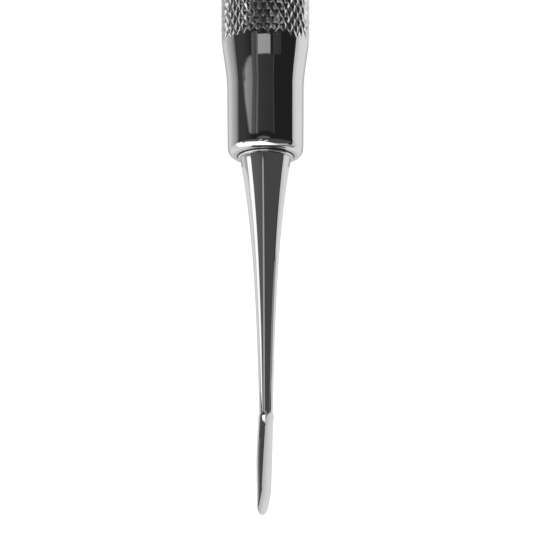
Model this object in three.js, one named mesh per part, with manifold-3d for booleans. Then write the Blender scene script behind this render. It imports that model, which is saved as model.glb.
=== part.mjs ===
// Slim steel hand instrument: a round knurled handle, a long tapered shank and a small blade.
// Three pieces: a hollow handle, a working tip pressed into its nose, and a plug that closes the
// rear. Millimetres. The tool lies on its grip, with its axis along Y, its blade towards -Y, Z up.
import * as THREE from "three";
import { mergeVertices } from "three/addons/utils/BufferGeometryUtils.js";
import Module from "manifold-3d";

const wasm = await Module();
wasm.setup();

// Handle: both ends are turned alike, a short nose and a flare up to the grip
const gripRadius = 4.75;
const waistRadius = 4.09;
const noseRadius = 4.04;
const noseRoundWidth = 0.65;
const noseRoundLength = 1.06;
const flareStart = 7.4;
const flareLength = 6.9;

// Diamond knurl: a band behind each flare, running out on it. The plain band between them stands
// a little proud of the crests, which polishing has taken down.
const knurlSetback = 4.4;
const knurlLength = 27;
const knurlDepth = 0.25;
const knurlAngle = THREE.MathUtils.degToRad(30);
const diamondsAround = 30;
const plainLength = 47.5;
const plainRadius = 4.9;
const plainSides = 20;

// Hollow of the handle, and the clearance of the two pieces pressed into it
const boreRadius = 2.8;
const pressGap = 0.05;
const socketRelief = 0.6;
const mouthChamfer = 0.1;

// Working tip: grooved tang, round seating bead, tapered shank
const tangLength = 14;
const tangShoulder = 0.32;
const tangChamfer = 0.4;
const grooveCount = 3;
const grooveDepth = 0.15;
const grooveWidth = 0.8;
const beadRadius = 0.17;
const beadProud = 0.24;
const shankRadius = 2.72;
const neckRadius = 0.74;
const shankLength = 28.1;
const taperLength = 11.5;

// Blade: a forged back and sides, and the face ground along it
const bladeLength = 11.4;
const bladeTurn = THREE.MathUtils.degToRad(55);
const heelHalfWidth = 0.69;
const bladeHalfWidth = 0.85;
const heelCorner = 0.32;
const tipCorner = 0.12;
const backBulge = 0.82;
const backShoulder = 0.73;
const tipDepth = 0.55;
const edgeThickness = 0.06;
const scoopLength = 1.25;
const scoopDepth = 0.37;
const faceFall = 0.36;
const bevelLength = 2.5;

// Rear plug
const spigotLength = 7;
const plugChamfer = 0.4;
const headLip = 0.5;
const headHeight = 1;
const headRound = 0.6;

// One overrun serves every cut
const overrun = 0.06;

// Fineness of the round forms
const columns = 2 * diamondsAround;
const boreSides = 36;
const roundSteps = 4;
const flareSteps = 6;
const cornerSteps = 7;
const beadSteps = 6;
const shankSteps = 14;
const backSteps = 60;

// Where the blade's sections lie, and where its back is highest, along its length
const sectionShares = [0.06, 0.12, 0.18, 0.27, 0.37, 0.48, 0.6, 0.72, 0.84];
const tipRoundShares = [0, 0.25, 0.45, 0.62, 0.77, 0.9, 0.97];
const squareShare = 0.16;
const widenShare = 0.75;
const bulgeShare = 0.45;
const shoulderShare = 0.8;
const bevelSagShare = 0.4;

// The knurl's rows are half a diamond apart
const rowStep = (Math.PI * gripRadius) / diamondsAround / Math.tan(knurlAngle);
const knurlRows = Math.round(knurlLength / rowStep);
const knurlStart = flareStart + knurlSetback;
const bandEnd = knurlStart + knurlRows * rowStep;
const handleLength = 2 * bandEnd + plainLength;
const endFaceRadius = noseRadius - noseRoundWidth;

const tangRadius = shankRadius - tangShoulder;
const socketRadius = tangRadius + pressGap;
const socketDepth = tangLength + socketRelief;
const spigotRadius = boreRadius - pressGap;
const headRadius = boreRadius + headLip;
const faceHeight = neckRadius - scoopDepth;
const reach = shankLength + bladeLength;

// The tool rests on one of the flat sides of its plain band
const axisHeight = plainRadius * Math.cos(Math.PI / plainSides);

const steel = new THREE.MeshStandardMaterial({ color: 0xc9cbcc, roughness: 0.06, metalness: 1 });
const gripSteel = new THREE.MeshStandardMaterial({ color: 0xbfc1c2, roughness: 0.16, metalness: 1 });

// A closed mesh as a solid that can be cut and joined.
function solidOf(geometry) {
  const bare = geometry.index ? geometry.toNonIndexed() : geometry.clone();
  const positions = new THREE.BufferGeometry();
  positions.setAttribute("position", bare.getAttribute("position"));
  const merged = mergeVertices(positions);
  return new wasm.Manifold(
    new wasm.Mesh({
      numProp: 3,
      vertProperties: merged.attributes.position.array,
      triVerts: new Uint32Array(merged.index.array),
    }),
  );
}

// A cut solid as a geometry again.
function geometryOf(solid) {
  const mesh = solid.getMesh();
  const geometry = new THREE.BufferGeometry();
  geometry.setAttribute("position", new THREE.BufferAttribute(mesh.vertProperties, 3));
  geometry.setIndex(new THREE.BufferAttribute(mesh.triVerts, 1));
  const faceted = geometry.toNonIndexed();
  faceted.computeVertexNormals();
  return faceted;
}

function named(name, geometry, material) {
  const mesh = new THREE.Mesh(geometry, material);
  mesh.name = name;
  return mesh;
}

// Rings of equally many points become one skin, closed by a fan at each end.
// Each ring lists its points in the same turning sense, and the rings run towards the blade.
// Each four-sided cell is split along its groove, which joins the two corners nearer the axis.
function skin(rings) {
  const sides = rings[0].length;
  const points = rings.flat();
  const triangles = [];
  const outward = (...corners) =>
    corners.reduce((sum, corner) => sum + Math.hypot(points[corner].x, points[corner].z), 0);
  for (let row = 1; row < rings.length; row += 1) {
    for (let side = 0; side < sides; side += 1) {
      const above = (row - 1) * sides + side;
      const below = row * sides + side;
      const aboveNext = (row - 1) * sides + ((side + 1) % sides);
      const belowNext = row * sides + ((side + 1) % sides);
      if (outward(above, belowNext) > outward(below, aboveNext)) {
        triangles.push(above, below, aboveNext, aboveNext, below, belowNext);
      } else {
        triangles.push(above, belowNext, aboveNext, above, below, belowNext);
      }
    }
  }
  const lastRow = (rings.length - 1) * sides;
  const middleOf = (ring) => ring.reduce((sum, point) => sum.add(point), new THREE.Vector3());
  const top = points.push(middleOf(rings[0]).divideScalar(sides)) - 1;
  const bottom = points.push(middleOf(rings.at(-1)).divideScalar(sides)) - 1;
  for (let side = 0; side < sides; side += 1) {
    const next = (side + 1) % sides;
    triangles.push(top, side, next, bottom, lastRow + next, lastRow + side);
  }
  const geometry = new THREE.BufferGeometry().setFromPoints(points);
  geometry.setIndex(triangles);
  return geometry;
}

const easeInOut = (share) => share * share * (3 - 2 * share);
const easeOut = (share) => 1 - (1 - share) * (1 - share);
const mix = THREE.MathUtils.lerp;

// The turned outline of one end of the handle, at a height from its end face.
function turnedRadius(height) {
  const flared = (height - flareStart) / flareLength;
  if (flared < 0) return mix(noseRadius, waistRadius, height / flareStart);
  return mix(waistRadius, gripRadius, easeInOut(Math.min(flared, 1)));
}

// One end of the handle, from its end face inwards, as heights with the radius at each column.
// In the knurled band every second point of every second row is a crest, and the points between
// are where two grooves cross, so that the four faces round a crest make one diamond.
function endRings() {
  const rings = [];
  for (let step = 0; step <= roundSteps; step += 1) {
    const turn = ((step / roundSteps) * Math.PI) / 2;
    const radius = endFaceRadius + noseRoundWidth * Math.sin(turn);
    rings.push({ height: noseRoundLength * (1 - Math.cos(turn)), radiusAt: () => radius });
  }
  for (let step = 0; step < flareSteps; step += 1) {
    const height = mix(flareStart, knurlStart, step / flareSteps);
    rings.push({ height, radiusAt: () => turnedRadius(height) });
  }
  for (let row = 0; row <= knurlRows; row += 1) {
    const height = knurlStart + row * rowStep;
    const radiusAt = (column) => {
      const groove = (column + row) % 2 === 0 ? 0 : knurlDepth;
      return Math.min(turnedRadius(height), gripRadius - groove);
    };
    rings.push({ height, radiusAt });
  }
  rings.push({ height: bandEnd + overrun, radiusAt: () => gripRadius - knurlDepth });
  return rings;
}

// The same end at both ends of the handle, with the plain band between them.
function turnedBar() {
  const circle = (height, radiusAt) =>
    Array.from({ length: columns }, (_, column) => {
      const turn = (column * 2 * Math.PI) / columns;
      const radius = radiusAt(column);
      return new THREE.Vector3(radius * Math.sin(turn), height, radius * Math.cos(turn));
    });
  const front = endRings().map(({ height, radiusAt }) => circle(height, radiusAt));
  const rear = endRings().map(({ height, radiusAt }) => circle(handleLength - height, radiusAt));
  const sizes = [plainRadius, plainRadius, plainLength, plainSides];
  const band = new THREE.CylinderGeometry(...sizes, 1, false, Math.PI / plainSides);
  band.translate(0, handleLength / 2, 0);
  return solidOf(band).add(solidOf(skin(front.reverse()))).add(solidOf(skin(rear)));
}

// Front socket for the tang, its chamfered mouth, and the long bore behind it.
function hollow() {
  const outline = [
    [0, -overrun],
    [socketRadius + mouthChamfer + overrun, -overrun],
    [socketRadius, mouthChamfer],
    [socketRadius, socketDepth],
    [boreRadius, socketDepth + Math.abs(boreRadius - socketRadius)],
    [boreRadius, handleLength + overrun],
    [0, handleLength + overrun],
  ].map(([radius, height]) => new THREE.Vector2(radius, height));
  return solidOf(new THREE.LatheGeometry(outline, boreSides));
}

function handle() {
  return named("handle", geometryOf(turnedBar().subtract(hollow())), gripSteel);
}

// A section across the tip: a rounded rectangle, which is a circle where all its sizes are equal.
// x is the width of the blade and z the way its ground face looks.
function section(along, halfWidth, back, front, corner) {
  const points = [];
  for (let quarter = 0; quarter < 4; quarter += 1) {
    for (let step = 0; step < cornerSteps; step += 1) {
      const turn = ((quarter + (step + 1 / 2) / cornerSteps) * Math.PI) / 2;
      const across = Math.sin(turn);
      const up = Math.cos(turn);
      const depth = up > 0 ? front : back;
      points.push(
        new THREE.Vector3(
          Math.sign(across) * (halfWidth - corner) + corner * across,
          along,
          Math.sign(up) * (depth - corner) + corner * up,
        ),
      );
    }
  }
  return points;
}

const round = (along, radius) => section(along, radius, radius, radius, radius);

// The tang, from its rear end to the seat, with shallow grooves that hold the bond.
function tangRings() {
  const rings = [
    round(tangLength, tangRadius - tangChamfer),
    round(tangLength - tangChamfer, tangRadius),
  ];
  const pitch = (tangLength - tangChamfer) / (grooveCount + 1);
  for (let groove = grooveCount; groove > 0; groove -= 1) {
    const middle = groove * pitch;
    rings.push(round(middle + grooveWidth / 2, tangRadius));
    rings.push(round(middle + grooveWidth / 2 - grooveDepth, tangRadius - grooveDepth));
    rings.push(round(middle - grooveWidth / 2 + grooveDepth, tangRadius - grooveDepth));
    rings.push(round(middle - grooveWidth / 2, tangRadius));
  }
  rings.push(round(0, tangRadius));
  return rings;
}

// The round bead that seats on the end of the handle.
function beadRings() {
  const middle = shankRadius + beadProud - beadRadius;
  return Array.from({ length: beadSteps + 1 }, (_, step) => {
    const turn = (step / beadSteps) * Math.PI;
    return round(beadRadius * (Math.cos(turn) - 1), middle + beadRadius * Math.sin(turn));
  });
}

// The shank narrows quickly below the bead and slowly towards the neck.
function shankRings() {
  const fall = (share) => Math.exp((-share * shankLength) / taperLength);
  const rings = [];
  for (let step = 1; step <= shankSteps; step += 1) {
    const share = (step / shankSteps) ** (3 / 2);
    const left = (fall(share) - fall(1)) / (1 - fall(1));
    rings.push(round(mix(-2 * beadRadius, -shankLength, share), mix(neckRadius, shankRadius, left)));
  }
  return rings;
}

// Height of the forged back below the axis, along the blade.
const backCurve = new THREE.SplineCurve([
  new THREE.Vector2(0, neckRadius),
  new THREE.Vector2(bladeLength * bulgeShare, backBulge),
  new THREE.Vector2(bladeLength * shoulderShare, backShoulder),
  new THREE.Vector2(bladeLength, tipDepth),
]);
const backPoints = backCurve.getSpacedPoints(backSteps);
const backAt = (along) => (backPoints.find((point) => point.x >= along) ?? backPoints.at(-1)).y;

// The forged end: the round neck turns square-sided and widens, and the tip is rounded off.
function forgedRings() {
  const ring = (share, halfWidth) => {
    const square = easeInOut(Math.min(share / squareShare, 1));
    const corner = mix(neckRadius, mix(heelCorner, tipCorner, share), square);
    const along = share * bladeLength;
    const least = Math.min(corner, halfWidth);
    return section(-shankLength - along, halfWidth, backAt(along), neckRadius, least);
  };
  const widthAt = (share) => {
    const heel = mix(neckRadius, heelHalfWidth, easeInOut(Math.min(share / squareShare, 1)));
    return mix(heel, bladeHalfWidth, easeOut(Math.min(share / widenShare, 1)));
  };
  const roundShare = bladeHalfWidth / bladeLength;
  const tip = tipRoundShares.map((roundedShare) => {
    const turn = (roundedShare * Math.PI) / 2;
    return ring(1 - roundShare * (1 - Math.sin(turn)), bladeHalfWidth * Math.cos(turn));
  });
  return [...sectionShares.map((share) => ring(share, widthAt(share))), ...tip];
}

// What the grinding wheel takes off the front: a scooped heel, a long face and a bevel at the tip.
function groundAway() {
  const heelEnd = shankLength + scoopLength;
  const wheelRadius = (scoopDepth ** 2 + scoopLength ** 2) / (2 * scoopDepth);
  const scoopTurn = Math.asin(scoopLength / wheelRadius);
  const down = -Math.PI / 2;
  const bevelStart = reach - bevelLength;
  const bevelHeight = faceHeight - faceFall;
  const edgeHeight = edgeThickness - tipDepth;
  const sag = mix(bevelHeight, edgeHeight, bevelSagShare);
  const outline = new THREE.Shape();
  outline.moveTo(shankLength, neckRadius);
  outline.absarc(heelEnd, faceHeight + wheelRadius, wheelRadius, down - scoopTurn, down, false);
  outline.lineTo(bevelStart, bevelHeight);
  outline.quadraticCurveTo(reach - bevelLength / 2, sag, reach, edgeHeight);
  outline.lineTo(reach + overrun, edgeHeight);
  outline.lineTo(reach + overrun, neckRadius + overrun);
  outline.lineTo(shankLength, neckRadius + overrun);
  const width = 2 * (bladeHalfWidth + overrun);
  const cutter = new THREE.ExtrudeGeometry(outline, { depth: width, bevelEnabled: false });
  const along = new THREE.Vector3(0, -1, 0);
  const up = new THREE.Vector3(0, 0, 1);
  const across = new THREE.Vector3(-1, 0, 0);
  cutter.translate(0, 0, -width / 2);
  cutter.applyMatrix4(new THREE.Matrix4().makeBasis(along, up, across));
  return solidOf(cutter);
}

function workingTip() {
  const rings = [...tangRings(), ...beadRings(), ...shankRings(), ...forgedRings()];
  const forged = solidOf(skin(rings));
  const mesh = named("working_tip", geometryOf(forged.subtract(groundAway())), steel);
  mesh.rotation.y = bladeTurn;
  return mesh;
}

function endPlug() {
  const head = [];
  for (let step = 0; step <= roundSteps; step += 1) {
    const turn = ((step / roundSteps) * Math.PI) / 2;
    head.push([
      headRadius - headRound + headRound * Math.cos(turn),
      headHeight - headRound + headRound * Math.sin(turn),
    ]);
  }
  const outline = [
    [0, -spigotLength],
    [spigotRadius - plugChamfer, -spigotLength],
    [spigotRadius, -spigotLength + plugChamfer],
    [spigotRadius, 0],
    [headRadius, 0],
    ...head,
    [0, headHeight],
  ].map(([radius, height]) => new THREE.Vector2(radius, height));
  const mesh = named("end_plug", new THREE.LatheGeometry(outline, boreSides), steel);
  mesh.position.y = handleLength;
  return mesh;
}

// The origin is on the floor, under the middle of the tool's whole length.
const tool = new THREE.Group();
tool.position.set(0, (reach - handleLength - headHeight) / 2, axisHeight);
tool.add(handle(), workingTip(), endPlug());

export default tool;
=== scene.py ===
"""A slim steel hand instrument: knurled handle, tapered shank and a small ground blade."""

import logging
import math
from collections.abc import Callable, Sequence
from dataclasses import dataclass, field
from enum import Enum

import bmesh
import bpy
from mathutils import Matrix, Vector, noise


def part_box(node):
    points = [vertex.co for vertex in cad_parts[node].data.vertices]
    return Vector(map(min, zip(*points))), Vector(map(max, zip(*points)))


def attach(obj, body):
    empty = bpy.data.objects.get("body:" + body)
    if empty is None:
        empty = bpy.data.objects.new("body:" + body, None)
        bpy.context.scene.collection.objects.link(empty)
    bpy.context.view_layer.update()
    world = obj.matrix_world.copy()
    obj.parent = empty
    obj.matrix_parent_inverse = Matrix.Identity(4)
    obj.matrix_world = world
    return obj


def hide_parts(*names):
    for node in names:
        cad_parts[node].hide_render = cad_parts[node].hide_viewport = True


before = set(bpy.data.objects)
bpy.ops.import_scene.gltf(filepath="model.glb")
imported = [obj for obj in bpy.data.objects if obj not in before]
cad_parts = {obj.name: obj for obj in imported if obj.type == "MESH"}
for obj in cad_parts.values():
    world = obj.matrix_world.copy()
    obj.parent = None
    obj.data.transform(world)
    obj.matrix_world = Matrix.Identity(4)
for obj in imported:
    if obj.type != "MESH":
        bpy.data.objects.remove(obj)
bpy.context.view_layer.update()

MM = 0.001
TOOL_AXIS = (0, 1, 0)
MERGE_DISTANCE = 0.0004 * MM
BODY = "root"
SIDE = Vector((1, 0, 0))
UP = Vector((0, 0, 1))

log = logging.getLogger("instrument")

Outline = list[tuple[float, float]]
Profile = Callable[[float], float]
Stops = tuple[tuple[float, float], ...]
Corner = tuple[float, float, float]


def linear(colour: str) -> tuple[float, float, float, float]:
    """Turn an sRGB hex colour into linear values.

    Args:
        colour: six hex digits after a hash mark.

    Returns:
        Red, green, blue and an alpha of one.
    """
    channels = [int(colour[start : start + 2], 16) / 255 for start in (1, 3, 5)]
    straight = [c / 12.92 if c <= 0.04045 else ((c + 0.055) / 1.055) ** 2.4 for c in channels]
    return straight[0], straight[1], straight[2], 1.0


def add_node(
    tree: bpy.types.NodeTree,
    kind: str,
    settings: dict | None = None,
    links: dict | None = None,
) -> bpy.types.Node:
    """Add one node with its settings and links.

    Args:
        tree: the node tree.
        kind: the node's Blender type.
        settings: values of input sockets, or of the node's own options, by name or number.
        links: output sockets to join to input sockets, by name or number.

    Returns:
        The new node.
    """
    node = tree.nodes.new(kind)
    for name, value in (settings or {}).items():
        if isinstance(name, int) or name in node.inputs:
            node.inputs[name].default_value = value
        else:
            setattr(node, name, value)
    for name, source in (links or {}).items():
        tree.links.new(source, node.inputs[name])
    return node


def mix(low: float, high: float, share: float) -> float:
    """Return the value that lies at a share of the way from low to high."""
    return low + (high - low) * share


def ease(share: float) -> float:
    """Return a share that starts and stops gently."""
    held = min(max(share, 0.0), 1.0)
    return held * held * (3 - 2 * held)


def spaced(low: float, high: float, count: int) -> list[float]:
    """Return count + 1 evenly spaced values, both ends among them."""
    return [mix(low, high, step / count) for step in range(count + 1)]


def quarter_round(centre: tuple[float, float], size: tuple[float, float], steps: int) -> Outline:
    """Return a quarter of an ellipse, from its inner end to its outer end.

    Args:
        centre: radius and place of its middle.
        size: its reach in radius and along the axis; a negative reach turns it over.
        steps: number of edges.

    Returns:
        The points as radius and place along the axis.
    """
    turns = spaced(0, math.pi / 2, steps)
    return [(centre[0] + size[0] * math.sin(t), centre[1] + size[1] * math.cos(t)) for t in turns]


class Modelling:
    """The few moves in edit mode that every piece of the tool is made by."""

    @staticmethod
    def deselect() -> None:
        """Leave edit mode and deselect everything."""
        if bpy.context.object and bpy.context.object.mode != "OBJECT":
            bpy.ops.object.mode_set(mode="OBJECT")
        bpy.ops.object.select_all(action="DESELECT")

    @staticmethod
    def draw(name: str, points: Sequence[Vector]) -> bpy.types.Object:
        """Draw a chain of edges by extruding one vertex from point to point.

        Args:
            name: the new object's name.
            points: the corners of the chain.

        Returns:
            The object, in edit mode with its last vertex selected.
        """
        Modelling.deselect()
        bpy.ops.mesh.primitive_plane_add(size=MM, location=points[0])
        piece = bpy.context.object
        piece.name = name
        piece.data.name = name
        bpy.ops.object.mode_set(mode="EDIT")
        bpy.ops.mesh.select_mode(type="VERT")
        bpy.ops.mesh.select_all(action="SELECT")
        bpy.ops.mesh.merge(type="CENTER")
        for start, end in zip(points, points[1:]):
            step = {"value": tuple(end - start)}
            bpy.ops.mesh.extrude_vertices_move(TRANSFORM_OT_translate=step)
        return piece

    @staticmethod
    def turn(name: str, outline: Outline, base: Vector, sides: int) -> bpy.types.Object:
        """Turn an outline round the tool's axis, as on a lathe.

        Args:
            name: the new object's name.
            outline: radius and place along the axis of each corner.
            base: the point on the axis from which the places are measured.
            sides: number of columns round the piece.

        Returns:
            The object, in edit mode with all of it selected.
        """
        points = [base + Vector((0, along, radius)) for radius, along in outline]
        piece = Modelling.draw(name, points)
        bpy.ops.mesh.select_all(action="SELECT")
        bpy.ops.mesh.spin(steps=sides, angle=math.tau, center=base, axis=TOOL_AXIS)
        bpy.ops.mesh.select_all(action="SELECT")
        bpy.ops.mesh.remove_doubles(threshold=MERGE_DISTANCE)
        return piece

    @staticmethod
    def close(piece: bpy.types.Object, smooth_angle: float) -> None:
        """Point the faces outwards, put the origin at the frame's and smooth the round forms.

        Args:
            piece: the object; not used, the operators act on the active object.
            smooth_angle: edges sharper than this stay crisp.
        """
        bpy.ops.object.mode_set(mode="EDIT")
        bpy.ops.mesh.select_all(action="SELECT")
        bpy.ops.mesh.normals_make_consistent(inside=False)
        bpy.ops.object.mode_set(mode="OBJECT")
        bpy.ops.object.transform_apply(location=True, rotation=True, scale=True)
        bpy.ops.object.shade_smooth_by_angle(angle=smooth_angle)

    @staticmethod
    def select_faces(piece: bpy.types.Object, wanted: Callable[[bmesh.types.BMFace], bool]) -> None:
        """Select the faces of a piece in edit mode that a test picks.

        Args:
            piece: the object, in edit mode.
            wanted: the test.
        """
        bpy.ops.mesh.select_mode(type="FACE")
        bpy.ops.mesh.select_all(action="DESELECT")
        mesh = bmesh.from_edit_mesh(piece.data)
        for face in [face for face in mesh.faces if wanted(face)]:
            face.select_set(True)
        bmesh.update_edit_mesh(piece.data)


@dataclass(frozen=True)
class Setting:
    """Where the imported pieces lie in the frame."""

    axis_height: float
    nose: Vector
    rear: Vector
    plug_end: float

    @staticmethod
    def from_frame() -> "Setting":
        """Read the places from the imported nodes.

        Returns:
            The places.
        """
        low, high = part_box("handle")
        height = (low.z + high.z) / 2
        return Setting(
            axis_height=height,
            nose=Vector((0, low.y, height)),
            rear=Vector((0, high.y, height)),
            plug_end=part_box("end_plug")[1].y,
        )

    def off_axis(self, place: Vector) -> float:
        """Return how far a point lies from the tool's axis."""
        return Vector((place.x, place.z - self.axis_height)).length

    def turn(self, place: Vector) -> float:
        """Return the turn of a point round the tool's axis, from its top towards +X."""
        return math.atan2(place.x, place.z - self.axis_height)


class Slot(Enum):
    """The record's material slots."""

    POLISHED = "polished_steel"
    KNURLED = "knurled_steel"


@dataclass(frozen=True)
class Stainless:
    """What every finish of the steel shares: a colour, and a gloss that a noise varies."""

    name: str
    colour: str
    roughness: float
    roughness_spread: float = 0.0

    def start(self) -> tuple[bpy.types.Material, bpy.types.Node, bpy.types.NodeSocket]:
        """Start a metal of an even gloss.

        Returns:
            The material, its shader and the coordinates that its noises read.
        """
        material = bpy.data.materials.new(self.name)
        material.use_nodes = True
        shader = material.node_tree.nodes["Principled BSDF"]
        shader.inputs["Metallic"].default_value = 1.0
        shader.inputs["Base Color"].default_value = linear(self.colour)
        shader.inputs["Roughness"].default_value = self.roughness
        return material, shader, add_node(material.node_tree, "ShaderNodeTexCoord").outputs["Object"]

    def vary_gloss(
        self,
        shader: bpy.types.Node,
        haze: bpy.types.NodeSocket,
        limits: tuple[float, float],
    ) -> None:
        """Let a noise vary the gloss.

        Args:
            shader: the metal's shader.
            haze: the noise.
            limits: values of the noise where the steel is glossiest and dullest.
        """
        tree = shader.id_data
        span = {"From Min": limits[0], "From Max": limits[1]}
        span |= {"To Min": self.roughness, "To Max": self.roughness + self.roughness_spread}
        gloss = add_node(tree, "ShaderNodeMapRange", span, {"Value": haze})
        tree.links.new(gloss.outputs["Result"], shader.inputs["Roughness"])


def speckle(
    tree: bpy.types.NodeTree,
    place: bpy.types.NodeSocket,
    size: float,
    detail: float = 3.0,
    fineness: float = 0.6,
) -> bpy.types.NodeSocket:
    """Add a noise of a real size.

    Args:
        tree: the node tree.
        place: the coordinates that it reads.
        size: width of one spot.
        detail: how many finer layers it has.
        fineness: how strong the finer layers are.

    Returns:
        The noise's value.
    """
    settings = {"Scale": 1 / size, "Detail": detail, "Roughness": fineness}
    return add_node(tree, "ShaderNodeTexNoise", settings, {"Vector": place}).outputs["Fac"]


def dent(shader: bpy.types.Node, relief: bpy.types.NodeSocket, strength: float, height: float) -> None:
    """Give a metal fine dents.

    Args:
        shader: the metal's shader.
        relief: the noise that shapes them.
        strength: how much of them shows.
        height: how high they stand.
    """
    tree = shader.id_data
    bump = add_node(tree, "ShaderNodeBump", {"Strength": strength, "Distance": height}, {"Height": relief})
    tree.links.new(bump.outputs["Normal"], shader.inputs["Normal"])


@dataclass(frozen=True)
class PolishedStainless(Stainless):
    """Buffed stainless steel: a near mirror whose fine buffing marks soften every reflection."""

    name: str = "buffed_stainless_steel"
    colour: str = "#D5D6D6"
    roughness: float = 0.045
    roughness_spread: float = 0.03
    mark_spacing: float = 0.22 * MM
    mark_length: float = 5 * MM
    mark_strength: float = 0.012
    mark_height: float = 0.004 * MM
    smudge_size: float = 6 * MM
    smudge_detail: float = 4.0
    smudge_fineness: float = 0.55
    smudge_limits: tuple[float, float] = (0.35, 0.75)

    def material(self) -> bpy.types.Material:
        """Build the node material, with marks that run round the tool's axis.

        Returns:
            The material.
        """
        material, shader, place = self.start()
        tree = material.node_tree
        smudges = speckle(tree, place, self.smudge_size, self.smudge_detail, self.smudge_fineness)
        self.vary_gloss(shader, smudges, self.smudge_limits)
        stretch = (1 / self.mark_length, 1 / self.mark_spacing, 1 / self.mark_length)
        turned = add_node(tree, "ShaderNodeMapping", {"Scale": stretch}, {"Vector": place})
        marks = speckle(tree, turned.outputs["Vector"], 1.0)
        dent(shader, marks, self.mark_strength, self.mark_height)
        return material


@dataclass(frozen=True)
class KnurledStainless(Stainless):
    """Rolled and lightly buffed stainless steel, with a fine grain that varies its gloss and dents it."""

    name: str = "rolled_stainless_steel"
    colour: str = "#CFD0D0"
    roughness: float = 0.1
    roughness_spread: float = 0.16
    grain_size: float = 0.09 * MM
    grain_strength: float = 0.06
    grain_height: float = 0.012 * MM
    grain_limits: tuple[float, float] = (0.3, 0.7)

    def material(self) -> bpy.types.Material:
        """Build the node material, with the fine grain that the rolling tool leaves.

        Returns:
            The material.
        """
        material, shader, place = self.start()
        grain = speckle(material.node_tree, place, self.grain_size)
        self.vary_gloss(shader, grain, self.grain_limits)
        dent(shader, grain, self.grain_strength, self.grain_height)
        return material


@dataclass(frozen=True)
class PaintedShadeStainless(Stainless):
    """Stainless steel in a dark grey with a dull gloss. It paints the shade between the end faces and the
    bead and plug, with darker patches at random.
    """

    name: str = "painted_shade_steel"
    # Painted shade: this dark grey stands in for the shade that falls between the handle's end faces and
    # the bead and plug.
    colour: str = "#7A7A7A"
    roughness: float = 0.42
    patch_colour: str = "#4A4948"
    patch_size: float = 0.5 * MM
    patch_detail: float = 2.0
    patch_fineness: float = 0.5

    def material(self) -> bpy.types.Material:
        """Build the node material: a dark grey of painted shade, with darker patches at random.

        Returns:
            The material.
        """
        material, shader, place = self.start()
        tree = material.node_tree
        patches = speckle(tree, place, self.patch_size, self.patch_detail, self.patch_fineness)
        colours = {"Color1": linear(self.colour), "Color2": linear(self.patch_colour)}
        mixed = add_node(tree, "ShaderNodeMixRGB", colours, {"Fac": patches})
        tree.links.new(mixed.outputs["Color"], shader.inputs["Base Color"])
        return material


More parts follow.
